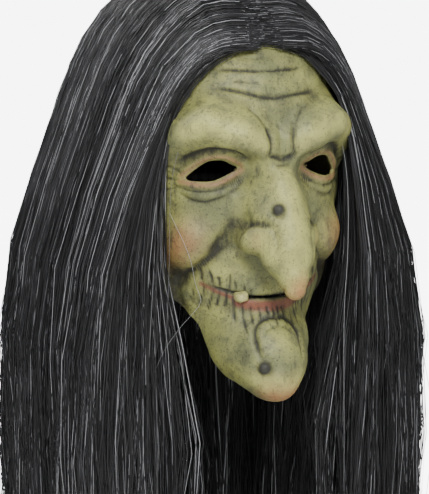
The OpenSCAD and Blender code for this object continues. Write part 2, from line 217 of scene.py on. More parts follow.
def lamp(name, place, size, watts, aim=(0, -0.03, -0.05)):
    data = bpy.data.lights.new(name, "AREA")
    data.size, data.energy = size, watts
    made = bpy.data.objects.new(name, data)
    made.location = place
    made.rotation_euler = (Vector(place) - Vector(aim)).to_track_quat("Z", "Y").to_euler()
    bpy.context.collection.objects.link(made)


lamp("key lamp", (-0.5, -1.35, 1.0), 0.5, 31)
lamp("fill lamp", (1.1, -0.9, 0.3), 0.9, 1.5)
lamp("hair lamp", (-0.9, 0.2, 1.1), 0.5, 12)

# %% [markdown]
# ## The face, step 1: forms in soft clay
# The real mask is cast from a clay sculpt, which is built from a few large masses blended by thumb:
# a head, a hooked nose with two round wings, heavy brow pads, cheeks and a jutting chin. The same
# masses are written here as distance functions (below 0 inside) and blended with a soft minimum.
# That keeps the creases between them tight where the blend is small, which one smooth surface
# would lose. All sizes here are in millimetres.

# %% Distance functions
HEAD = dict(half_width=75.0, half_depth=98.0, crown=96.0, jaw=185.0, level=18.0, taper=1.12)


def head_form(p):
    x, y, z = p[..., 0] / HEAD["half_width"], p[..., 1] / HEAD["half_depth"], p[..., 2] - HEAD["level"]
    flat = np.sqrt(x * x + y * y)
    over = np.sqrt(flat ** (2 / HEAD["taper"]) + (z / HEAD["crown"]) ** 2)
    under = np.sqrt(flat ** 2 + (z / HEAD["jaw"]) ** 2)
    return (np.where(z > 0, over, under) - 1) * 88


def egg(p, centre, radii):
    q = p - np.array(centre, float)
    r = np.array(radii, float)
    k = np.linalg.norm(q / r, axis=-1)
    return k * (k - 1) / (np.linalg.norm(q / (r * r), axis=-1) + 1e-9)


def sausage(p, beads):
    """A chain of round cones through beads of (x, y, z, radius)."""
    nearest = np.full(p.shape[:-1], 1e9)
    for (ax, ay, az, ar), (bx, by, bz, br) in zip(beads, beads[1:]):
        a, b = np.array([ax, ay, az], float), np.array([bx, by, bz], float)
        along = np.clip(((p - a) @ (b - a)) / ((b - a) @ (b - a)), 0, 1)
        gap = np.linalg.norm(p - a - along[..., None] * (b - a), axis=-1)
        nearest = np.minimum(nearest, gap - (ar + (br - ar) * along))
    return nearest


def join(a, b, soft):
    h = np.clip(0.5 + 0.5 * (b - a) / soft, 0, 1)
    return b + (a - b) * h - soft * h * (1 - h)


def carve(a, b, soft):
    return -join(-a, b, soft)


def mirrored(p):
    return np.stack([np.abs(p[..., 0]), p[..., 1], p[..., 2]], axis=-1)


# %% [markdown]
# The masses are placed by measuring out from the eyes: the brow hangs a finger's width in front of
# the eye holes, the nose tip stands as far forward again and droops past the mouth, and the chin
# curves up and forward to meet it.

# %% The clay masses
def clay(p):
    m = mirrored(p)
    d = head_form(p)
    # The brow pads, and the hollow of each eye under them.
    brow = sausage(m, [(9.5, -97.5, 14, 7), (21, -97, 20, 10), (37, -88.5, 26, 11), (51, -73, 20, 9),
                       (58, -63, 10, 5.5)])
    d = join(d, brow, 13)
    d = carve(d, egg(m, (31, -107, -2.5), (24.5, 21, 15)), 3.5)
    # Cheeks, the swelling behind the lips, and the chin in three masses.
    d = join(d, egg(m, (39, -66, -42), (16, 16, 17)), 9)
    d = join(d, egg(p, (0, -62, -68), (37, 25, 24)), 8)
    d = join(d, egg(p, (0, -72, -104), (31, 26, 26)), 12)
    d = join(d, egg(p, (0, -89, -112), (22, 19, 22.5)), 8)
    d = join(d, sausage(p, [(0, -86, -96, 12), (0, -93, -111, 14.5), (0, -98, -121, 13.5)]), 7)
    # The hooked bridge and tip, the flanks that carry it, the wings and the nostrils.
    nose = sausage(p, [(0, -97, 10, 4.5), (0, -98, 4, 5.2), (0, -104.5, -9, 8.2), (0, -110, -21, 9.8),
                       (0, -112.5, -33, 11.6), (0, -115, -43, 12), (0, -114.5, -51, 11.6),
                       (0, -118.5, -58.5, 9.4), (0, -121.3, -65.3, 6.3)])
    d = join(d, nose, 5)
    flank = sausage(m, [(4, -92, 2, 6), (8, -98, -18, 8.5), (9.5, -104.5, -35, 10.8), (6, -110, -46, 8.5)])
    d = join(d, flank, 11)
    d = join(d, egg(m, (17.5, -99, -38.5), (8, 10.5, 8.6)), 5)
    d = carve(d, egg(m, (9, -106, -57), (3.2, 4.5, 4)), 2)
    # Lower lip, then upper lip.
    d = join(d, sausage(m, [(0, -86, -79.5, 3.6), (12, -84, -79, 3.4), (24, -77, -75.5, 2.2)]), 3)
    d = join(d, sausage(m, [(0, -85, -70.5, 3.4), (14, -81.5, -69, 3.2), (30, -73, -65, 2.5)]), 4)
    return d


# %% [markdown]
# ## The face, step 2: a skin pulled on to the clay
# A flat grid is the easiest thing to pull over a form: its rows run round the head and its columns
# run from chin to hairline. Each vertex is sent inward along its own ray until it meets the clay,
# then the net is relaxed so that its cells stay even over the nose and the chin.

# %% Pull the grid on
COLUMNS, ROWS = 176, 262
REAR = 97.0
TOP = 50.0


def skin_bottom(t):
    return -57 + 40 * (1 - np.exp(-(np.abs(t) / 48) ** 1.1))


def on_form(t, h, out=0.0):
    t, h = np.radians(t), np.radians(h)
    dome = np.where(h > 0, np.cos(h) ** HEAD["taper"], np.cos(h))
    return np.stack([(HEAD["half_width"] + out) * dome * np.sin(t),
                     -(HEAD["half_depth"] + out) * dome * np.cos(t),
                     HEAD["level"] + np.where(h > 0, HEAD["crown"] + out, HEAD["jaw"]) * np.sin(h)], axis=-1)


face = bmesh.new()
bmesh.ops.create_grid(face, x_segments=COLUMNS, y_segments=ROWS, size=1.0)
face.verts.ensure_lookup_table()
flat = np.array([v.co[:2] for v in face.verts])
turn = REAR * (0.5 * flat[:, 0] + 0.5 * flat[:, 0] ** 3)
# Rows crowd together over the nose, where the rays spread most.
spots = np.linspace(0, 1, 400)
crowd = 1 + 1.3 * np.exp(-((spots - 0.44) / 0.14) ** 2) + 0.4 * np.exp(-((spots - 0.1) / 0.12) ** 2)
heap = np.concatenate([[0], np.cumsum((crowd[1:] + crowd[:-1]) / 2)])
rise = np.interp((flat[:, 1] + 1) / 2 * heap[-1], heap, spots)
low_edge = skin_bottom(turn)
start = on_form(turn, low_edge + (TOP - low_edge) * rise)

PULL_STEPS = 70
eye_of_rays = np.array([0, 0, 40.0])
ray = start - eye_of_rays
ray /= np.linalg.norm(ray, axis=1)[:, None]
skin = start + 62 * ray
for step in range(PULL_STEPS):
    skin -= np.clip(clay(skin), -3, 30)[:, None] * 0.6 * ray
shape = (ROWS + 1, COLUMNS + 1)
order = np.lexsort((flat[:, 0].round(6), flat[:, 1].round(6)))
print("skin pulled on:", len(skin), "vertices, worst miss in mm", round(float(np.abs(clay(skin)).max()), 2))


# %% [markdown]
# Rays stretch the net wherever the form turns away from them, as under the nose and the chin. So the
# rows are spaced again along each column, then every vertex slides towards the middle of its
# neighbours without leaving the clay, which is what a relax brush does.

# %% Relax the net along the surface
def lattice(values):
    return values[order].reshape(*shape, -1)


def slope(p, reach=0.25):
    out = np.empty_like(p)
    for axis in range(3):
        step = np.zeros(3)
        step[axis] = reach
        out[..., axis] = clay(p + step) - clay(p - step)
    return out / (np.linalg.norm(out, axis=-1)[..., None] + 1e-9)


RELAX_STEPS = 24
net = lattice(skin)
# The rows are spread evenly down each column, but thinly under the chin and over the crown.
for column in range(COLUMNS + 1):
    line = net[:, column]
    middle = (line[1:] + line[:-1]) / 2
    plain = (middle[:, 2] > 66) | ((middle[:, 2] < -112) & (middle[:, 1] > -100))
    steps = np.linalg.norm(np.diff(line, axis=0), axis=1) * np.where(plain, 0.5, 1.0)
    walk = np.concatenate([[0], np.cumsum(steps)])
    even = np.linspace(0, walk[-1], ROWS + 1)
    net[:, column] = np.stack([np.interp(even, walk, line[:, axis]) for axis in range(3)], axis=-1)
for step in range(RELAX_STEPS):
    middle = (net[:-2, 1:-1] + net[2:, 1:-1] + net[1:-1, :-2] + net[1:-1, 2:]) / 4 - net[1:-1, 1:-1]
    facing = slope(net[1:-1, 1:-1])
    middle -= (middle * facing).sum(-1)[..., None] * facing
    net[1:-1, 1:-1] += 0.5 * middle
    net[1:-1, 1:-1] -= clay(net[1:-1, 1:-1])[..., None] * facing * 0.8
print("relaxed; box in mm", net.min((0, 1)).round(1), net.max((0, 1)).round(1))

# %% [markdown]
# The mouth runs in one line from corner to corner, low in the middle and rising at the ends. The
# creases, the lips and the slit all follow it, so it is written once. Half the slit's height is
# given for the first points of that line, and it closes to almost nothing at the third.

# %% The line of the mouth
MOUTH = [(0, -75), (12, -74.6), (22, -71.8), (34, -68), (38, -66)]
SLIT_HALF = [0.6, 0.5, 0.05]


def mouth_height(x):
    return np.interp(np.abs(x), [p[0] for p in MOUTH], [p[1] for p in MOUTH])


# %% [markdown]
# ## The face, step 3: tooling the creases
# A sculptor cuts wrinkles with a wire loop and rolls thin worms of clay on for eyelids. Each tool stroke is
# a line of points given from the front, dropped on to the surface. It pushes the skin in or out by a soft
# amount, and it also leaves a dark mark in the colour along the crease, which is partly the paint's wash and
# partly painted shade.

# %% Tools
marks = {name: np.zeros(shape) for name in ("wash_and_shade", "blush", "lip", "lid", "wart", "pale_highlight")}


def facing_of(points):
    along = np.gradient(points, axis=1)
    up = np.gradient(points, axis=0)
    out = np.cross(along, up)
    return out / (np.linalg.norm(out, axis=-1)[..., None] + 1e-9)


def on_skin(x, z):
    """The frontmost point of the skin at (x, z)."""
    gap = np.hypot(net[..., 0] - x, net[..., 2] - z)
    front = np.where(gap < gap.min() + 1.2, net[..., 1], 1e9).min()
    share = np.where(net[..., 1] < front + 9, np.exp(-((gap - gap.min()) / 0.6) ** 2), 0)
    if share.sum() > 1e-6:
        front = (net[..., 1] * share).sum() / (share.sum() + 1e-12)
    return np.array([x, front, z])


def line_on_skin(points, fine=2.0):
    dots = []
    for (x0, z0), (x1, z1) in zip(points, points[1:]):
        count = max(1, int(math.hypot(x1 - x0, z1 - z0) / fine))
        dots += [on_skin(x0 + (x1 - x0) * i / count, z0 + (z1 - z0) * i / count) for i in range(count)]
    dots = np.array(dots + [on_skin(*points[-1])])
    for _ in range(3):
        dots[1:-1] = (dots[:-2] + 2 * dots[1:-1] + dots[2:]) / 4
    return dots


def reach_to(line):
    """Distance of every vertex from a line on the skin, and how far along it the nearest point is."""
    near, how_far = np.full(shape, 1e9), np.zeros(shape)
    box = np.all((net > line.min(0) - 22) & (net < line.max(0) + 22), axis=-1)
    q = net[box]
    best, spot = np.full(len(q), 1e9), np.zeros(len(q))
    for i, (a, b) in enumerate(zip(line, line[1:])):
        along = np.clip(((q - a) @ (b - a)) / max((b - a) @ (b - a), 1e-9), 0, 1)
        gap = np.linalg.norm(q - a - along[:, None] * (b - a), axis=1)
        closer = gap < best
        best, spot = np.where(closer, gap, best), np.where(closer, (i + along) / (len(line) - 1), spot)
    near[box], how_far[box] = best, spot
    return near, how_far


# %% Tools that press, roll and spray
def push(amount):
    global net
    net = net + amount[..., None] * facing_of(net)


def crease(points, deep=1.2, wide=1.6, wash_and_shade=0.8, spread=2.4, sides=(1, -1)):
    """A cut crease with a dark line that is partly paint wash and partly painted shade. It thins out towards
    both ends.
    """
    for side in sides:
        line = line_on_skin([(side * x, z) for x, z in points])
        near, how_far = reach_to(line)
        thin = np.clip(np.minimum(how_far, 1 - how_far) * 5 + 0.25, 0, 1)
        push(-deep * thin * np.exp(-(near / wide) ** 2))
        for strong, reach in ((wash_and_shade, max(1.0, wide * 0.75)), (0.45 * wash_and_shade, max(2.2, wide * spread))):
            marks["wash_and_shade"] = np.maximum(marks["wash_and_shade"], strong * thin * np.exp(-(near / reach) ** 2))


def roll(points, high=1.2, wide=2.2, sides=(1, -1)):
    """A raised fold of skin."""
    for side in sides:
        line = line_on_skin([(side * x, z) for x, z in points])
        near, how_far = reach_to(line)
        thin = np.clip(np.minimum(how_far, 1 - how_far) * 5 + 0.2, 0, 1)
        push(high * thin * np.exp(-(near / wide) ** 2))


def smear(mark, points, wide, strong=1.0, sides=(1, -1)):
    """A soft line of one mark: paint for blush, lips and lids, paint wash and painted shade for the dark
    mark, painted highlight for the pale one.
    """
    for side in sides:
        near, _ = reach_to(line_on_skin([(side * x, z) for x, z in points]))
        marks[mark] = np.maximum(marks[mark], strong * np.exp(-(near / wide) ** 2))

# %% [markdown]
# Big folds first, fine wrinkles last, as in clay. The mouth is pursed, so short creases run up and
# down from it; the brow is drawn down in a frown; and the eyelids are rolled on round the holes.

# %% Folds, lids and mouth
EYE = [(49, -5.5), (44, 0), (40, 4.2), (36.8, 6.3), (30, 6.5), (25.3, 3.6), (20.3, 1.8),
       (24, -1.1), (30, -4), (35.5, -5.9), (42, -6.4)]

ACROSS = (1,)


def both_halves(half):
    """A line over the middle, from its right half turned over and its left half."""
    return [(-x, z) for x, z in half[::-1]] + half


ARCH = [(4, -85.4), (9, -87.2), (13, -91), (14.3, -97.5), (14, -104), (12.5, -110)]
# Beside the nose: the long fold to the mouth's corner, its sharp bottom, and the jowl under it.
crease([(20, -27), (25, -34), (30, -44), (37, -54), (43.5, -61), (46.5, -69)], 3.2, 3.6, 0.42, 1.8)
crease([(26, -40), (31, -47), (38, -56), (44, -62), (46.5, -69)], 0.8, 1.0, 0.9, 2.6)
crease([(44, -62), (47.5, -70), (45.5, -80), (40, -88)], 1.8, 3.2, 0.5)
# The eyelids, the fold over each, the bags under them and the crow's feet.
roll([(50.5, -3), (45.5, 3), (41, 7), (36.5, 9.3), (30, 9.3), (24.5, 6.2), (18.5, 3.6)], high=1.8, wide=1.9)
roll([(50.5, -7.4), (43, -9.2), (35.5, -8.8), (29.5, -6.9), (23, -3.6), (18.5, 0)], high=1.7, wide=1.9)
# The fold over each eye: its strong dark line is painted shade from the brow.
crease([(53, 2), (47.5, 8), (41.5, 12), (35, 13.5), (28, 12.5), (21, 8.8), (16.5, 5)], 2.0, 1.7, 0.95, 2.6)
crease([(53, -9.5), (44, -12.4), (36, -12), (29, -10), (22, -6), (16.5, -1)], 0.8, 1.2, 0.75)
roll([(24, -11), (33, -14.6), (42, -14.6), (48, -12)], high=1.2, wide=3.0)
crease([(16, -2), (20.5, -7.5), (29, -14.5), (38, -18.6), (46, -17.6), (51, -12)], 1.0, 1.4, 0.7)
CROWS_FEET = [[(50, -1.5), (56, 2), (61, 3)], [(51, -6), (57, -5), (62, -5)],
              [(50, -10), (56, -12), (61, -15)]]
for toe in CROWS_FEET:
    crease(toe, 0.8, 1.1, 0.7)
# The frown between the brows and the folds across the root of the nose.
crease([(8.8, 27), (6.6, 18), (7.0, 12), (9.2, 7.6)], 1.3, 1.4, 0.8)
crease([(18, 37), (12.5, 31), (8.8, 25)], 0.7, 1.4, 0.5)
crease([(-9, 9), (0, 7.2), (9, 9)], 1.5, 1.3, 0.9, sides=ACROSS)
crease([(-5, 4.2), (0, 3.0), (5, 4.2)], 0.7, 0.9, 0.8, sides=ACROSS)
# The nose's side, its wing, the mouth, and the button of the chin with its inner line.
crease([(12.3, -30), (10.6, -38), (12.5, -46)], 0.9, 1.5, 0.35)
crease([(11, -29), (17, -27.8), (24, -31), (26.5, -38), (24.5, -46)], 2.0, 1.8, 0.95, 3.0)
crease([(-x, z) for x, z in MOUTH[:0:-1]] + MOUTH, 1.6, 1.0, 1.0, 1.6, ACROSS)
crease(both_halves(ARCH), 1.7, 1.6, 0.95, 2.6, ACROSS)
crease([(-9.5, -95), (-7, -91.8), (0, -90.3), (7, -91.8), (9.5, -95)], 0.7, 1.0, 0.6, sides=ACROSS)
# Four furrows across the forehead.
crease([(-34, 57.6), (-10, 56.4), (3, 56.4), (21, 57.4), (26, 58.6)], 1.0, 0.9, 0.85, 3.2, ACROSS)
crease([(-35, 47), (-22, 45.5), (-8, 41.6), (2, 41.2), (14, 42.8), (31, 43.6)], 1.1, 0.95, 0.85, 3.2, ACROSS)
crease([(-24, 51), (-12, 50.2), (-7, 49.6)], 0.4, 0.8, 0.5, sides=ACROSS)
crease([(-20, 64), (-8, 63), (4, 64)], 0.4, 0.9, 0.45, sides=ACROSS)
print("folds cut; wash covers", round(float((marks["wash_and_shade"] > 0.3).mean() * 100), 1), "% of the skin")

# %% [markdown]
# Pursed lips gather the skin into short creases that fan out from the mouth. They are all alike but
# none the same, so they are drawn by dice with a fixed seed, which gives the same face each run.

# %% Puckers round the mouth
dice = np.random.default_rng(7)
x = -37.0
while x < 38:
    top = mouth_height(x)
    lean = x * 0.04 + dice.uniform(-1, 1)
    length = dice.uniform(5, 12)
    crease([(x, top + 1.2), (x + lean * 0.3, top + length * 0.5), (x + lean, top + length)],
           deep=dice.uniform(0.45, 0.9), wide=dice.uniform(0.6, 0.85), wash_and_shade=dice.uniform(0.6, 1.0),
           spread=1.8, sides=ACROSS)
    x += dice.uniform(3.4, 5.4)
x = -40.0
while x < 40:
    top = mouth_height(min(abs(x), 38)) - (7.5 if abs(x) < 20 else 2)
    lean = dice.uniform(-1.2, 1.2)
    length = dice.uniform(5, 17) * (0.55 if abs(x) < 13 else 1)
    crease([(x, top + 2.5), (x + lean * 0.4, top - length * 0.5), (x + lean, top - length)],
           deep=dice.uniform(0.4, 0.8), wide=dice.uniform(0.6, 0.8), wash_and_shade=dice.uniform(0.55, 1.0),
           spread=1.8, sides=ACROSS)
    x += dice.uniform(2.6, 4.6)
print("puckers cut")


# %% Warts, and a skin that isn't quite even
def wart(x, z, across, high):
    gap = np.linalg.norm(net - on_skin(x, z), axis=-1)
    middle = net.reshape(-1, 3)[gap.argmin()]
    gap = np.linalg.norm(net - middle, axis=-1)
    push(high * np.exp(-(gap / across) ** 4) - 0.5 * np.exp(-((gap - across * 1.6) / 1.1) ** 2))
    marks["wart"] = np.maximum(marks["wart"], np.exp(-(gap / (across * 1.3)) ** 4))
    # A soft ring of painted shade round the wart.
    marks["wash_and_shade"] = np.maximum(marks["wash_and_shade"], 0.6 * np.exp(-(gap / (across * 2.0)) ** 2))


wart(-8, -20.5, 3.0, 2.2)
wart(-11.5, -112.5, 3.3, 2.8)
waves = sum(a * np.sin(net @ np.array(k) + s) for a, k, s in (
    (0.22, (0.16, 0.1, 0.2), 0.4), (0.16, (-0.21, 0.12, 0.31), 2.0), (0.12, (0.43, 0.2, -0.2), 1.1)))
push(waves)

# %% [markdown]
# The mask is painted with an airbrush after casting. Each pass below is a soft line of one colour: blush on
# the high points, red on the lips and lids, a dark pass in the hollows and along the folds that is much of
# it painted shade, and a pale pass on what stands out that is painted highlight.

# %% Airbrushed colour, painted shade and painted highlight
smear("blush", [(-1, -69.5), (1, -63)], 6.5, 0.95, sides=ACROSS)
smear("blush", [(-5, -131), (5, -131)], 9, 0.95, sides=ACROSS)
smear("blush", [(50, -40), (55, -50)], 11, 0.75)
smear("blush", [(19, -36), (19, -40)], 4.5, 0.25)
smear("lip", [(0, -80.3), (10, -79.8), (19, -77)], 3.6, 1.0)
smear("lip", [(20, -75.5), (30, -71), (37, -67)], 1.9, 0.75)
smear("lid", [(49.5, -3.5), (45, 2.5), (41, 6.4), (36.5, 8.6), (30, 8.8), (24.5, 6), (19.5, 3)], 1.5, 0.85)
smear("lid", [(50, -6.5), (43, -8.4), (35.5, -8), (29.5, -6), (23, -2.8), (19, 0.6)], 1.5, 1.0)
# Painted shade: dark under the jaw by the mouth's corner, in the fold beside the nose's wing, on the far
# cheek (one side only) and under each brow over the eye. The other dark passes here only make places darker:
# the sides of the face, the eyes' outer and inner corners, the forehead over each brow pad, the chin's sides
# and the top of the forehead.
smear("wash_and_shade", [(47, -62), (49, -72), (46, -86)], 8, 0.8)
smear("wash_and_shade", [(24, -32), (29, -42)], 7, 0.5)
smear("wash_and_shade", [(42, -24), (46, -66)], 9, 0.35, sides=ACROSS)
smear("wash_and_shade", [(60, 30), (60, -60)], 9, 0.4)
smear("wash_and_shade", [(52, -22), (58, -62)], 5, 0.3)
smear("wash_and_shade", [(18, 8), (28, 12.5), (41, 11.5), (50, 5)], 3.2, 0.5)
smear("wash_and_shade", [(53, 0), (60, 3)], 4, 0.4)
smear("wash_and_shade", [(15, 2), (16, -6)], 4, 0.35)
smear("wash_and_shade", [(30, 43), (20, 38)], 5, 0.35)
smear("wash_and_shade", [(19, -97), (21, -108)], 7, 0.42)
smear("wash_and_shade", [(0, 66), (30, 58), (45, 40)], 8, 0.3)

# Painted highlight on the parts that stand out: the nose's ridge and wings, the brow pads, the chin, the
# cheeks and the forehead.
smear("pale_highlight", [(0, -6), (0, -30), (0, -62)], 13, 1.0, sides=ACROSS)
smear("pale_highlight", [(17, -38), (14, -46)], 8, 0.9)
smear("pale_highlight", [(12, 17), (24, 24), (42, 28), (52, 22)], 8.5, 0.95)
smear("pale_highlight", [(-14, -121), (0, -126), (14, -121)], 9, 0.95, sides=ACROSS)
smear("pale_highlight", [(0, -100), (4, -108)], 8, 0.5, sides=ACROSS)
smear("pale_highlight", [(18, -57), (30, -60)], 7, 0.6)
smear("pale_highlight", [(40, -34), (50, -30)], 8, 0.5)
smear("pale_highlight", [(6, 66), (18, 60), (22, 50)], 9, 0.6, sides=ACROSS)
smear("pale_highlight", [(28, -84), (30, -98)], 8, 0.4)

# %% Painted shade where the skin is hollow, painted highlight where it stands out
around = facing_of(net)
# Painted shade in the hollows of the form and painted highlight on the parts that stand out, both found from
# the form itself.
hollow = np.clip(1 - clay(net + 8 * around) / 8, 0, 1.4)
proud = np.clip(-clay(net - 9 * around) / 9, 0, 1.2)
marks["hollow"] = np.clip(hollow * 1.3 - 0.12, 0, 1)
high_spots = 0.55 * np.clip(1.25 - proud * 1.25, 0, 1)
marks["pale_highlight"] = np.maximum(marks["pale_highlight"] * 0.9, high_spots) * (1 - 0.5 * marks["wash_and_shade"])
print("hollow up to", round(float(hollow.max()), 2), "mean", round(float(hollow.mean()), 2))

# %% [markdown]
# ## The face, step 4: cut the holes and give the latex its thickness
# Eye holes are cut in the finished casting with curved scissors. The faces inside each outline are
# taken out, and the edge that is left is eased on to the outline so that the cut is clean. A Solidify
# modifier then gives the skin its wall, inward, as the latex has.

# %% Outlines
def rounded(points, times=5):
    points = np.array(points, float)
    for _ in range(times):
        nxt = np.roll(points, -1, axis=0)
        points = np.stack([points * 0.75 + nxt * 0.25, points * 0.25 + nxt * 0.75], axis=1).reshape(-1, 2)
    return points


def inside(outline, x, z):
    nxt = np.roll(outline, -1, axis=0)
    spans = (outline[:, 1] > z) != (nxt[:, 1] > z)
    lean = (nxt[:, 0] - outline[:, 0]) / (nxt[:, 1] - outline[:, 1] + 1e-12)
    cross_at = outline[:, 0] + (z - outline[:, 1]) * lean
    return bool((spans & (x < cross_at)).sum() % 2)


# %% Hand the shape and the marks to the mesh
outlines = [rounded(EYE), rounded([(-x, z) for x, z in EYE])]

for spot, place in zip(net.reshape(-1, 3), order):
    face.verts[place].co = spot
layers = {name: face.verts.layers.float.new(name) for name in marks}
for name, values in marks.items():
    layer = layers[name]
    for value, place in zip(np.clip(values, 0, 1).ravel(), order):
        face.verts[place][layer] = float(value)


# %% [markdown]
# The mouth is only slit, not cut out, so it is opened with flat cuts along the lips' line. A cut adds
# new edges exactly on the line, and the faces between the upper and the lower cut are then removed.

# %% The mouth slit
def lip_line(sign):
    """One edge of the mouth slit, from the right corner to the left one."""
    half = [(x, z + sign * gape) for (x, z), gape in zip(MOUTH, SLIT_HALF)]
    return [(-x, z) for x, z in half[:0:-1]] + half


def at_lips(place, reach=4.0):
    return -97 < place.y < -60 and abs(place.z - mouth_height(place.x)) < reach


for sign in (1, -1):
    edge = lip_line(sign)
    for (ax, az), (bx, bz) in zip(edge, edge[1:]):
        close = [f for f in face.faces
                 if ax <= f.calc_center_median().x <= bx and at_lips(f.calc_center_median())]
        geom = close + list({e for f in close for e in f.edges}) + list({v for f in close for v in f.verts})
        bmesh.ops.bisect_plane(face, geom=geom, plane_co=(ax, 0, az), plane_no=(az - bz, 0, bx - ax),
                               dist=0.02)
corners_x = [p[0] for p in lip_line(1)]
slit = []
for f in face.faces:
    place = f.calc_center_median()
    if abs(place.x) < MOUTH[2][0] and at_lips(place):
        low, high = (np.interp(place.x, corners_x, [p[1] for p in lip_line(s)]) for s in (-1, 1))
        if low < place.z < high:
            slit.append(f)
bmesh.ops.delete(face, geom=slit, context="FACES")
print("mouth slit:", len(slit), "faces out")
# %% The eye holes
near_holes = []
for f in face.faces:
    middle = f.calc_center_median()
    if middle.y < -55 and any(np.hypot(o[:, 0] - middle.x, o[:, 1] - middle.z).min() < 4 for o in outlines):
        near_holes.append(f)
bmesh.ops.subdivide_edges(face, edges=list({e for f in near_holes for e in f.edges}), cuts=1,
                          use_grid_fill=True)
edge_before = {e for e in face.edges if e.is_boundary}
cut = []
for f in face.faces:
    middle = f.calc_center_median()
    if middle.y < -55 and any(inside(o, middle.x, middle.z) for o in outlines):
        cut.append(f)
bmesh.ops.delete(face, geom=cut, context="FACES")
EASE_REACH = 3.0
rims = {v for e in face.edges if e.is_boundary and e not in edge_before for v in e.verts}
for outline in outlines:
    rim = []
    for v in rims:
        gap = np.hypot(outline[:, 0] - v.co.x, outline[:, 1] - v.co.z)
        if gap.min() < EASE_REACH:
            rim.append((int(gap.argmin()), v))
    rim.sort(key=lambda item: (item[0], item[1].co.y))
    depth = np.array([v.co.y for _, v in rim])
    for _ in range(6):
        depth = (np.roll(depth, 1) + 2 * depth + np.roll(depth, -1)) / 4
    for (spot, v), y in zip(rim, depth):
        v.co = (outline[spot][0], y, outline[spot][1])
bmesh.ops.scale(face, vec=(MM, MM, MM), verts=face.verts)
bmesh.ops.recalc_face_normals(face, faces=face.faces)
print("holes cut:", len(cut), "faces out,", len(face.faces), "left")


# %% Finish the skin's mesh
def put(name, bm, material):
    """Turns a bmesh into an object of the mask."""
    mesh = bpy.data.meshes.new(name)
    bm.to_mesh(mesh)
    bm.free()
    mesh.materials.append(material)
    mesh.polygons.foreach_set("use_smooth", [True] * len(mesh.polygons))
    made = bpy.data.objects.new(name, mesh)
    bpy.context.collection.objects.link(made)
    return made


# %% [markdown]
# ## Painted latex
# The casting is pale yellow-green. Greyer green is sponged over it, then fine dark spots are spattered on.
# Pink goes on the nose, cheeks and chin, red on the lips and lids. A dark colour that is partly the paint's
# wash and partly painted shade goes into every crease, under the brow and along the folds, and painted shade
# also darkens the hollows of the form. The parts that stand out get a pale yellow painted highlight. The
# marks left by the tools say where.

# %% Latex paint
latex = Finish("painted latex", Roughness=0.62, Coat_Weight=0.06, Coat_Roughness=0.35)
cloud = latex.noise(38, 4)
blotch = latex.noise(120, 4, rough=0.65)
grain = latex.noise(620, 3, rough=0.7)
fine_spots = latex.noise(1500, 2, rough=0.6)
drag = latex.noise(420, 3, stretch=(1, 1, 0.35), rough=0.65)
pale_highlight, hollow_shade, wash_and_shade = latex.attribute("pale_highlight"), latex.attribute("hollow"), latex.attribute("wash_and_shade")
base = latex.mix(cloud.ramp(0.36, 0.66), (0.33, 0.335, 0.10), (0.20, 0.215, 0.085))
# Painted highlight: the raised parts turn pale yellow.
base = latex.mix(pale_highlight.ramp(0.15, 1.0) * 0.82, base, (0.52, 0.515, 0.155))
base = latex.mix(blotch.ramp(0.44, 0.66) * 0.65 * (1 - 0.65 * pale_highlight), base, (0.095, 0.10, 0.055))
base = latex.mix(latex.attribute("blush") * (0.7 + 0.5 * (blotch - 0.5)), base, (0.42, 0.155, 0.06))
base = latex.mix(latex.attribute("lid") * 0.7, base, (0.34, 0.135, 0.07))
base = latex.mix(latex.attribute("lip").ramp(0.1, 0.8) * 0.85, base, (0.22, 0.05, 0.033))
specks = (fine_spots.ramp(0.58, 0.70) * 0.6 + grain.ramp(0.54, 0.68) * 0.7) * (0.95 - 0.4 * pale_highlight)
base = latex.mix(specks.low(0.85), base, (0.035, 0.036, 0.024))
strokes = latex.noise(260, 4, stretch=(1, 1, 0.22), rough=0.7).ramp(0.55, 0.72) * (0.8 - 0.4 * pale_highlight)
base = latex.mix(strokes, base, (0.06, 0.062, 0.038))
# Paint wash and painted shade: the dark tool marks and the hollows of the form, broken up by noise, darken
# the colour and roughen it a little.
patchy = (drag - 0.5) * 0.9 + (blotch - 0.5) * 0.7
dark_wash_and_shade = (wash_and_shade * 1.05 + hollow_shade * 0.6 + patchy * (wash_and_shade + hollow_shade)).ramp(0.08, 1.05)
base = latex.mix(dark_wash_and_shade * 0.93, base, (0.016, 0.015, 0.011))
base = latex.mix(latex.attribute("wart").ramp(0.35, 0.9) * 0.92, base, (0.025, 0.024, 0.02))
latex.feed("Base Color", base)
latex.feed("Roughness", 0.5 + 0.2 * grain + 0.12 * dark_wash_and_shade)
relief = drag * 0.5 + grain * 0.35 + fine_spots * 0.25
latex.feed("Normal", latex.bump(relief, 0.0006, 0.55))

# %% The lining and the latex wall
lining = Finish("bare latex inside", Roughness=0.7)
inner = lining.mix(lining.noise(45, 4).ramp(0.35, 0.7), (0.33, 0.27, 0.13), (0.25, 0.20, 0.10))
lining.feed("Base Color", inner)
lining.feed("Normal", lining.bump(lining.noise(300, 3), 0.0008, 0.4))

LATEX_WALL = 1.9
skin_piece = put("mask_skin", face, latex.material)
skin_piece.data.materials.append(lining.material)
wall = skin_piece.modifiers.new("latex wall", "SOLIDIFY")
wall.thickness = LATEX_WALL * MM
wall.offset = -1
wall.use_even_offset = False
wall.material_offset = 1
wall.material_offset_rim = 0
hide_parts("face_skin")
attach(skin_piece, "mask")

# %% [markdown]
# ## The cap, the tapes and the strap
# These are sewn goods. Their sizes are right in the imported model, but a solid of cloth is too crisp,
# so each one is copied, its facets are merged, its edges are rounded off and it is given a little
# pucker along its seams. Then it gets its weave. The hard parts keep their shapes and only get a
# finish: nickel for the ring and rivets, moulded nylon for the slider.

# %% Cloth, elastic, metal and nylon
# A wave texture at scale 1 repeats every 0.314 m here, so this over a pitch in mm gives its scale.
WAVE_TURN = 31.4


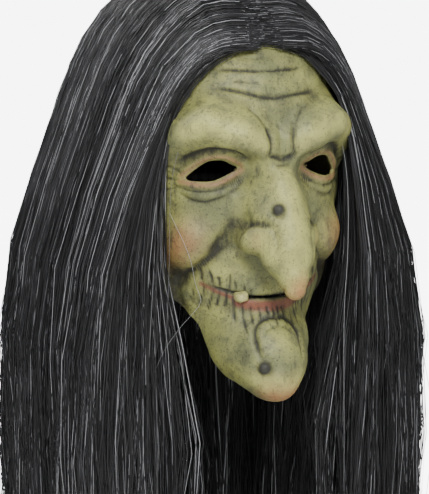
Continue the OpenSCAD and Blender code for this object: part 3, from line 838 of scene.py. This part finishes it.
def woven(name, colour, light, pitch, ribs=0.0, rough=0.8, direction="Z"):
    """Threads that cross at a pitch in mm, with broader ribs if asked."""
    cloth = Finish(name, Roughness=rough)
    turn = cloth.noise(60, 2)
    waves = []
    for axis in ("X", "Y", "Z"):
        waves.append(cloth.node("ShaderNodeTexWave", {"bands_direction": axis},
                                {"Vector": cloth.place(), "Scale": WAVE_TURN / pitch, "Distortion": 0.4,
                                 "Detail": 1.0}))
    threads = waves[0].top(waves[1]) * 0.5 + waves[2] * 0.5
    tone_of = cloth.mix(threads.ramp(0.2, 0.9), colour, light)
    worn = cloth.noise(140, 3).ramp(0.5, 0.75)
    cloth.feed("Base Color", cloth.mix(worn * 0.3 + turn * 0.1, tone_of, light))
    height = threads
    if ribs:
        rib = cloth.node("ShaderNodeTexWave", {"bands_direction": direction},
                         {"Vector": cloth.place(), "Scale": WAVE_TURN / ribs, "Distortion": 0.0})
        height = threads * 0.35 + rib * 0.65
    cloth.feed("Normal", cloth.bump(height, 0.00035, 0.8))
    return cloth.material


cap_net = woven("stretch net", (0.010, 0.010, 0.012), (0.055, 0.055, 0.06), 0.9)
tape_weave = woven("weft tape", (0.008, 0.008, 0.009), (0.045, 0.045, 0.05), 0.6)
elastic_weave = woven("knitted elastic", (0.012, 0.012, 0.013), (0.06, 0.06, 0.065), 0.7, ribs=1.6)
binding_weave = woven("binding", (0.010, 0.010, 0.011), (0.05, 0.05, 0.055), 0.6, ribs=1.2)

# %% Parting film, nickel and nylon
film = Finish("parting film", Roughness=0.6)
knots = film.node("ShaderNodeTexVoronoi", None, {"Vector": film.place(), "Scale": 700.0})
film.feed("Base Color", film.mix(knots.ramp(0.12, 0.22), (0.03, 0.025, 0.022), film.mix(
    film.noise(90, 3), (0.07, 0.05, 0.038), (0.12, 0.09, 0.068))))
film.feed("Normal", film.bump(knots, 0.0004, 0.5))

nickel = Finish("nickel plate", Metallic=1.0, Roughness=0.3)
scuff = nickel.noise(900, 3, stretch=(1, 1, 0.15))
nickel.feed("Base Color", nickel.mix(scuff.ramp(0.45, 0.75), (0.62, 0.61, 0.59), (0.42, 0.41, 0.40)))
nickel.feed("Roughness", 0.22 + 0.25 * scuff)
nickel.feed("Normal", nickel.bump(scuff, 0.00006, 0.4))

nylon = Finish("moulded nylon", Roughness=0.45)
speck = nylon.noise(1400, 2)
nylon.feed("Base Color", nylon.mix(nylon.noise(160, 3).ramp(0.4, 0.7), (0.012, 0.012, 0.013),
                                   (0.03, 0.03, 0.032)))
nylon.feed("Roughness", 0.38 + 0.2 * speck)
nylon.feed("Normal", nylon.bump(speck, 0.00012, 0.6))
print("materials for the sewn and hard parts are ready")


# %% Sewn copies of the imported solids
def sewn(node, name, material, body, pucker=0.0, pitch=9.0, fine=4.0):
    """A softer copy of a packed cloth solid, with puckers of a pitch in mm."""
    cloth = bmesh.new()
    cloth.from_mesh(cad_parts[node].data)
    bmesh.ops.remove_doubles(cloth, verts=cloth.verts, dist=0.02 * MM)
    bmesh.ops.dissolve_limit(cloth, angle_limit=math.radians(1.5), verts=cloth.verts, edges=cloth.edges)
    sharp = [e for e in cloth.edges if len(e.link_faces) == 2 and e.calc_face_angle(0) > math.radians(60)]
    bmesh.ops.bevel(cloth, geom=sharp, offset=0.22 * MM, segments=2, profile=0.5, material=-1,
                    affect="EDGES", clamp_overlap=True)
    bmesh.ops.triangulate(cloth, faces=[f for f in cloth.faces if len(f.verts) > 4])
    long_ones = [e for e in cloth.edges if e.calc_length() > fine * MM]
    bmesh.ops.subdivide_edges(cloth, edges=long_ones, cuts=2, use_grid_fill=True)
    if pucker:
        for v in cloth.verts:
            out = Vector((v.co.x, v.co.y, 0)).normalized()
            angle = math.atan2(v.co.x, v.co.y) * 95 / pitch
            v.co += out * (pucker * MM * math.sin(angle + 3 * math.sin(v.co.z * 90)))
    bmesh.ops.recalc_face_normals(cloth, faces=cloth.faces)
    piece = put(name, cloth, material)
    piece.data.set_sharp_from_angle(angle=math.radians(50))
    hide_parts(node)
    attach(piece, body)
    return piece


# %% Sew every cloth piece, and finish the hard ones
for label in ("left", "right"):
    sewn(f"cap_panel_{label}", f"cap_cloth_{label}", cap_net, "mask", pucker=0.10)
    sewn(f"strap_{label}", f"elastic_{label}", elastic_weave, "mask", fine=6)
    sewn(f"strap_tab_{label}", f"latex_pad_{label}", lining.material, "mask", fine=3)
    for row in (2, 3):
        sewn(f"weft_tape_{label}_{row}", f"tape_{label}_{row}", tape_weave, "mask",
             pucker=0.06, pitch=4)
for row in (1, 2, 3):
    sewn(f"weft_tape_back_{row}", f"tape_back_{row}", tape_weave, "mask", pucker=0.06, pitch=4)
sewn("nape_binding", "cap_binding", binding_weave, "mask", pucker=0.12, pitch=3)
sewn("parting_strip", "parting_film", film.material, "mask")
hard_parts = [("strap_ring", nickel, "metal"), ("strap_slider", nylon, "slider")]
for label in ("left", "right"):
    hard_parts += [(f"rivet_{label}_{end}", nickel, "metal") for end in ("front", "rear")]
for name, material, slot_name in hard_parts:
    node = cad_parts[name]
    node.data.materials.clear()
    node.data.materials.append(material.material)

# %% [markdown]
# ## Seams and the tooth
# The cap's edges are turned and sewn with a zigzag, which stretches with the net. The tooth is a
# small worn peg: a sphere squared off a little, with a flat biting end.

# %% Zigzag seams
thread = Finish("thread", Roughness=0.6)
ply = thread.noise(2200, 2)
thread.feed("Base Color", thread.mix(ply, (0.012, 0.012, 0.013), (0.07, 0.07, 0.075)))
thread.feed("Normal", thread.bump(ply, 0.0001, 0.6))


def from_curve(name, curve, material):
    """Turns a curve into a mesh object."""
    holder = bpy.data.objects.new(name + " curve", curve)
    bpy.context.collection.objects.link(holder)
    mesh = bpy.data.meshes.new_from_object(holder.evaluated_get(bpy.context.evaluated_depsgraph_get()))
    bpy.data.objects.remove(holder)
    bpy.data.curves.remove(curve)
    mesh.name = name
    mesh.materials.clear()
    mesh.materials.append(material)
    piece = bpy.data.objects.new(name, mesh)
    bpy.context.collection.objects.link(piece)
    return piece


def zigzag(name, t_range, height, wide, count, out):
    """Zigzag stitching along a level of the cap."""
    curve = bpy.data.curves.new(name, "CURVE")
    curve.dimensions = "3D"
    curve.bevel_depth = 0.22 * MM
    curve.bevel_resolution = 1
    line = curve.splines.new("POLY")
    line.points.add(2 * count)
    for i, point in enumerate(line.points):
        t = t_range[0] + (t_range[1] - t_range[0]) * i / (2 * count)
        spot = on_form(t, height + (wide if i % 2 else -wide), out)
        point.co = (*(spot * MM), 1)
    piece = from_curve(name, curve, thread.material)
    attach(piece, "mask")


zigzag("binding_seam", (98, 262), -10.6, 0.35, 190, 2.2)
zigzag("tape_seam_back_low", (128, 232), 17, 0.8, 120, 2.8)

# %% [markdown]
# The tooth on the real mask is a lump of hard latex pushed through the mouth, not a neat shape. A
# sphere with its sides flattened and one corner worn down is nearer to that than a box.

# %% The tooth
enamel = Finish("worn enamel", Roughness=0.4, Coat_Weight=0.2, Coat_Roughness=0.2)
stain = enamel.noise(420, 3)
enamel.feed("Base Color", enamel.mix(stain.ramp(0.4, 0.75), (0.50, 0.48, 0.19), (0.28, 0.25, 0.09)))
enamel.feed("Normal", enamel.bump(stain, 0.0003, 0.5))
tooth_low, tooth_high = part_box("tooth")
tooth_middle = (tooth_low + tooth_high) / 2
peg = bmesh.new()
bmesh.ops.create_icosphere(peg, subdivisions=4, radius=1)
for v in peg.verts:
    x, y, z = v.co
    v.co = Vector((math.copysign(abs(x) ** 0.7, x) * 3.9, math.copysign(abs(y) ** 0.8, y) * 6.5,
                   math.copysign(abs(z) ** 0.75, z) * 3.3)) * MM
    v.co.z += 0.35 * MM * math.sin(v.co.x * 900) - (0.5 * MM if z < 0 and x > 0 else 0) * abs(x)
    v.co += tooth_middle + Vector((0.3 * MM, -0.4 * MM, -0.2 * MM))
tooth_piece = put("tooth_peg", peg, enamel.material)
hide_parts("tooth")
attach(tooth_piece, "mask")
print("tooth at", [round(v / MM, 1) for v in tooth_middle])

# %% [markdown]
# ## The hair, step 1: where a strand runs
# The fibre is sewn in rows: one at the parting, then one on each tape below it. A strand lies on the
# dome of the head until it passes the widest level, then it hangs. The outer rows lie on top of the
# inner ones, so a strand's depth in the hair says how far it stands off the head.

# %% The path of a strand
RNG = np.random.default_rng(3)
HAIR_IN = 3.15
# How far the outside of the hair stands off, and how far its inside tucks in, at levels down the head.
SWELL = np.array([(-420, 44), (-130, 49), (-98, 48), (-60, 39), (-28, 28), (0, 16), (10, 11.5), (29, 8),
                  (90, 6)], float)
TUCK = np.array([(-420, 17), (-200, 16), (-148, 12), (-75, 0), (90, 0)], float)
ROW_HEIGHTS = {1: 90, 2: 45, 3: 17}
LENGTH_BELOW = 396.0
ON_HEAD, BELOW = 9, 7


def soft_step(x):
    x = np.clip(x, 0, 1)
    return x * x * (3 - 2 * x)


def depth_share(row, w, h):
    """How deep a strand lies: 0 against the cap and 1 at the outside of the hair."""
    second = 0.62 * soft_step((51 - h) / 20)
    third = 0.31 * soft_step((23 - h) / 14)
    if row == 1:
        return second + (1 - second) * w
    return third + (second - third) * w if row == 2 else third * w


def stand_off(row, w, h):
    share = depth_share(row, w, h)
    return HAIR_IN + share * np.interp(h, *SWELL.T) - (1 - share) ** 2 * np.interp(h, *TUCK.T)


def on_dome(x, y, row, w, back):
    """Lifts plan points on the cap up to the strand's own layer."""
    wide, deep = HEAD["half_width"] + HAIR_IN, HEAD["half_depth"] + HAIR_IN
    flat = np.clip(np.sqrt((x / wide) ** 2 + (y / deep) ** 2), 1e-4, 1)
    h = np.degrees(np.arccos(np.clip(flat ** (1 / HEAD["taper"]), 0, 1)))
    rise = soft_step(np.abs(x) / 22) if not back else soft_step(np.hypot(x, y - 43) / 22)
    out = stand_off(row, w, h) * (0.42 + 0.58 * rise)
    a, b = (HEAD["half_width"] + out) * flat, (HEAD["half_depth"] + out) * flat
    z = HEAD["level"] + (HEAD["crown"] + out) * np.sin(np.radians(h))
    if back:
        t = np.arctan2(x / wide, y / deep)
        return np.stack([a * np.sin(t), b * np.cos(t), z], -1), h
    return np.stack([np.sign(x) * a * np.sqrt(np.clip(1 - (y / b) ** 2, 0, 1)), y + 0 * a, z], -1), h


# %% [markdown]
# A row is laid in clumps, because fibre clings together. Each strand takes its place and depth from
# its clump, runs from the parting over the head, then drops and gathers towards the clump's middle.
# Slow waves are added at the end, so that no strand hangs like a ruled line.

# %% Lay a row of strands
def resample(path, count):
    """Even steps along each path of an array (strands, points, 3)."""
    run = np.linalg.norm(np.diff(path, axis=1), axis=-1)
    run = np.concatenate([np.zeros((len(run), 1)), np.cumsum(run, axis=1)], axis=1)
    out = np.empty((len(path), count, 3))
    for i, (line, dist) in enumerate(zip(path, run)):
        marks_at = np.linspace(0, 1, count) ** 1.2 * dist[-1]
        for axis in range(3):
            out[i, :, axis] = np.interp(marks_at, dist, line[:, axis])
    return out


def strands(count, row, hang_range, back=False, side=1, crowd=0.0):
    """Paths of many strands of one row, for the stretch of the head from hang_range[0] to [1].

    The range is along Y for a side, and round the head in degrees from the rear for the back.
    """
    clumps = max(4, count // 12)
    low, high = hang_range
    spread = RNG.uniform(0, 1, clumps) ** (1 + crowd)
    clump_at, clump_w = low + (high - low) * spread, RNG.uniform(0, 1, clumps)
    owner = RNG.integers(0, clumps, count)
    reach = (high - low) / math.sqrt(clumps) * 1.1
    at = clump_at[owner] + RNG.normal(0, reach * 0.6, count)
    at = np.clip(at, low, high) + RNG.uniform(-0.6, 0.6, count)
    w = np.clip(clump_w[owner] + RNG.normal(0, 0.17, count), 0, 1)
    fine = np.sin(np.linspace(0, math.pi / 2, 44))
    wide, deep = HEAD["half_width"] + HAIR_IN, HEAD["half_depth"] + HAIR_IN
    if back:
        t = np.radians(at)
        hang_x, hang_y = wide * np.sin(t), deep * np.cos(t)
        root_y = np.full(count, 43.0) - 2 * RNG.uniform(0, 1, count)
        root_x = np.sign(hang_x) * RNG.uniform(0.2, 2.2, count)
        bend = 1.0
    else:
        hang_y = at
        hang_x = wide * np.sqrt(1 - (hang_y / deep) ** 2)
        root_y = 44 + (hang_y - 44) * (128 / 126 if side > 0 else 128 / 122) + RNG.uniform(-1.5, 1.5, count)
        root_x = RNG.uniform(0.05, 1.0, count)
        bend = 2.2 if side < 0 else 1.7
    x = root_x[:, None] + (hang_x - root_x)[:, None] * fine
    y = root_y[:, None] + (hang_y - root_y)[:, None] * fine ** bend
    lift, h = on_dome(x, y, row, w[:, None], back)
    start = np.argmax(h <= ROW_HEIGHTS[row], axis=1)
    for i, first in enumerate(start):
        if first > 0:
            keep = np.linspace(first, lift.shape[1] - 1, lift.shape[1])
            lift[i] = np.stack([np.interp(keep, np.arange(lift.shape[1]), lift[i, :, a]) for a in range(3)],
                               -1)
    top = resample(lift, ON_HEAD)

    drop = np.linspace(0, 1, BELOW + 1)[1:] ** 1.35 * LENGTH_BELOW
    drop = drop[None] * (1 - 0.09 * RNG.uniform(0, 1, count)[:, None] ** 2)
    gather = 0.8 * soft_step(drop / 300)
    at_d = at[:, None] + (clump_at[owner] - at)[:, None] * gather
    w_d = w[:, None] + (clump_w[owner] - w)[:, None] * gather
    out = stand_off(row, w_d, -drop)
    if back:
        t = np.radians(at_d)
        hang = np.stack([(HEAD["half_width"] + out) * np.sin(t), (HEAD["half_depth"] + out) * np.cos(t),
                         HEAD["level"] - drop], -1)
    else:
        fit = np.clip(1 - (at_d / (HEAD["half_depth"] + out)) ** 2, 0, 1)
        hang = np.stack([(HEAD["half_width"] + out) * np.sqrt(fit), at_d, HEAD["level"] - drop], -1)
    path = np.concatenate([top, hang], axis=1)
    path[:, 1:-1] = (path[:, :-2] + 2 * path[:, 1:-1] + path[:, 2:]) / 4

    # Each clump wanders slowly, and each strand a little within it.
    along = np.concatenate([np.zeros((count, ON_HEAD)), drop], axis=1)
    calm = soft_step(along / 150)
    for who, much, wave in ((owner, 2.8, 260), (np.arange(count), 1.9, 170)):
        phase = RNG.uniform(0, 2 * math.pi, (2, who.max() + 1))
        size = RNG.normal(0, 1, (2, who.max() + 1)) * much
        for axis in range(2):
            swing = np.sin(along / wave * 2 * math.pi + phase[axis][who][:, None])
            path[..., axis] += size[axis][who][:, None] * swing * calm
    loose = RNG.uniform(0, 1, count) < 0.03
    drift = RNG.normal(0, 5, (count, 2)) * loose[:, None]
    path[..., :2] += drift[:, None] * soft_step(along / 300)[..., None]
    top_jitter = RNG.normal(0, 0.35, (count, ON_HEAD, 1)) * (along[:, :ON_HEAD, None] == 0)
    path[:, 1:ON_HEAD] += top_jitter[:, 1:] * np.array([0.6, 1, 0.6])
    path[..., 0] *= side
    return path


# %% [markdown]
# ## The hair, step 2: from paths to fibre
# Every strand is a spline with a three-sided section that tapers to its tip. A strand stands for a few of
# the real fibres, which are too fine to see one by one. Its tone is kept as an attribute, so that black,
# charcoal and light strands lie next to each other; the light ones are partly silver fibre, as in mixed
# synthetic fibre, and partly painted highlight, lines of shine on the black.

# %% Turn paths into strands of fibre
section = bpy.data.curves.new("strand section", "CURVE")
section.dimensions = "2D"
corner = section.splines.new("POLY")
corner.points.add(2)
corner.use_cyclic_u = True
for i in range(3):
    corner.points[i].co = (math.cos(i * math.tau / 3), math.sin(i * math.tau / 3), 0, 1)
section_object = bpy.data.objects.new("strand section", section)


def fibre(name, paths, material, thick=0.21, silver=0.14):
    count, points = paths.shape[:2]
    curve = bpy.data.curves.new(name, "CURVE")
    curve.dimensions = "3D"
    curve.bevel_mode = "OBJECT"
    curve.bevel_object = section_object
    curve.use_fill_caps = False
    taper = np.interp(np.linspace(0, 1, points), [0, 0.06, 0.8, 1], [0.7, 1, 0.9, 0.25])
    tone = RNG.uniform(0, 1, count)
    light = RNG.uniform(0, 1, count) < silver
    girth = RNG.uniform(0.7, 1.35, count) * np.where(light, 0.8, 1.0) * thick * MM
    spot = np.ones((points, 4))
    for path, size in zip(paths * MM, girth):
        spline = curve.splines.new("POLY")
        spline.points.add(points - 1)
        spot[:, :3] = path
        spline.points.foreach_set("co", spot.ravel())
        spline.points.foreach_set("radius", size * taper)
    made = from_curve(name, curve, material)
    tone = np.where(light, 0.5 + 0.5 * tone, 0.4 * tone ** 2)
    shade = made.data.attributes.new("tone", "FLOAT", "POINT")
    shade.data.foreach_set("value", np.repeat(tone, len(made.data.vertices) // count))
    print(name, count, "strands,", len(made.data.polygons) * 2, "triangles")
    return made


hair_finish = Finish("black and silver fibre", Roughness=0.36)
tone = hair_finish.attribute("tone")
mottle = hair_finish.noise(300, 2, stretch=(1, 1, 0.08))
black = hair_finish.mix((tone * 2.2 + 0.3 * mottle).low(1), (0.004, 0.004, 0.0045), (0.04, 0.04, 0.043))
# The light strands turn silver grey: partly grey fibre, partly painted highlight for the shine on black
# fibre.
hair_finish.feed("Base Color", hair_finish.mix(tone.ramp(0.5, 0.95), black, (0.40, 0.405, 0.42)))
hair_finish.feed("Roughness", 0.28 + 0.22 * mottle)


# %% Hang the hair
def wig(name, body, nodes, paths, **look):
    piece = fibre(name, paths, hair_finish.material, **look)
    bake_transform(piece)
    if nodes:
        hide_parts(*nodes)
    return piece


FRONT_SPLIT, BACK_SPLIT = -26.0, 44.0
SHARE = 1.0


def some(count):
    """How many strands to lay: the count scaled by SHARE."""
    return int(count * SHARE)


for label, side in (("left", 1), ("right", -1)):
    front = f"front_lock_{label}"
    flank = f"side_lock_{label}"
    edge = -82 if side > 0 else -78
    wig(f"front_hair_{label}_top", front, [f"lock_front_{label}"],
        strands(some(1600), 1, (edge, FRONT_SPLIT), side=side, crowd=0.7))
    wig(f"front_hair_{label}_under", front, [],
        np.concatenate([strands(some(600), 2, (edge + 2, FRONT_SPLIT), side=side, crowd=0.3),
                        strands(some(400), 3, (-70, FRONT_SPLIT), side=side)]), thick=0.3, silver=0.14)
    wig(f"side_hair_{label}_top_front", flank, [f"hair_{label}_1", f"lock_side_{label}"],
        strands(some(1500), 1, (FRONT_SPLIT, 8), side=side))
    wig(f"side_hair_{label}_top_rear", flank, [], strands(some(1500), 1, (8, BACK_SPLIT), side=side))
    wig(f"side_hair_{label}_under", flank, [f"hair_{label}_2", f"hair_{label}_3"],
        np.concatenate([strands(some(800), 2, (FRONT_SPLIT, BACK_SPLIT), side=side),
                        strands(some(700), 3, (FRONT_SPLIT, BACK_SPLIT), side=side)]), thick=0.4, silver=0.1)
    wig(f"back_hair_{label}", "back_lock", ["hair_back_1", "lock_back"],
        strands(some(1500), 1, (0, 66) if side > 0 else (-66, 0), back=True))
wig("back_hair_under", "back_lock", ["hair_back_2", "hair_back_3"],
    np.concatenate([strands(some(1000), 2, (-66, 66), back=True),
                    strands(some(1080), 3, (-66, 66), back=True)]), thick=0.6, silver=0.1)

# %% [markdown]
# A few fibres always come loose. Three are laid over the cheek and the temples, each given as a short line
# of points that is then rounded off.

# %% Stray hairs over the cheek and the temple
STRAYS = [
    [(-56, -72, -25), (-50, -82, -44), (-47.4, -84, -53.5), (-45.4, -84, -65.7), (-41, -84, -74.7),
     (-43, -83, -79), (-52, -77, -91), (-60, -71, -105), (-66, -68, -122)],
    [(-30, -84, 50), (-44, -80, 34), (-54, -78, 12), (-58, -76, -14), (-58, -76, -60), (-61, -73, -130),
     (-60, -70, -190)],
    [(38, -84, 40), (50, -79, 18), (57, -76, -8), (58, -76, -50), (55, -76, -90), (58, -72, -140),
     (60, -70, -230)],
]


def eased(points, times=3):
    """Rounds the corners of an open line by cutting them, again and again."""
    line = np.array(points, float)
    for _ in range(times):
        inner = np.stack([line[:-1] * 0.75 + line[1:] * 0.25, line[:-1] * 0.25 + line[1:] * 0.75], axis=1)
        line = np.concatenate([line[:1], inner.reshape(-1, 3), line[-1:]])
    return line


for label, side in (("left", 1), ("right", -1)):
    mine = np.concatenate([resample(eased(s)[None], 30) for s in STRAYS if s[0][0] * side > 0])
    wig(f"stray_hair_{label}", f"front_lock_{label}", [], mine, thick=0.17, silver=1.0)

# %% [markdown]
# ## Sizes and the end
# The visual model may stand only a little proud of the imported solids, so both boxes are written out
# for comparison before the scene is finished.

# %% Write the sizes and finish
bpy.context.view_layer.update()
for axis in range(3):
    side = cad_high[axis] - cad_low[axis]
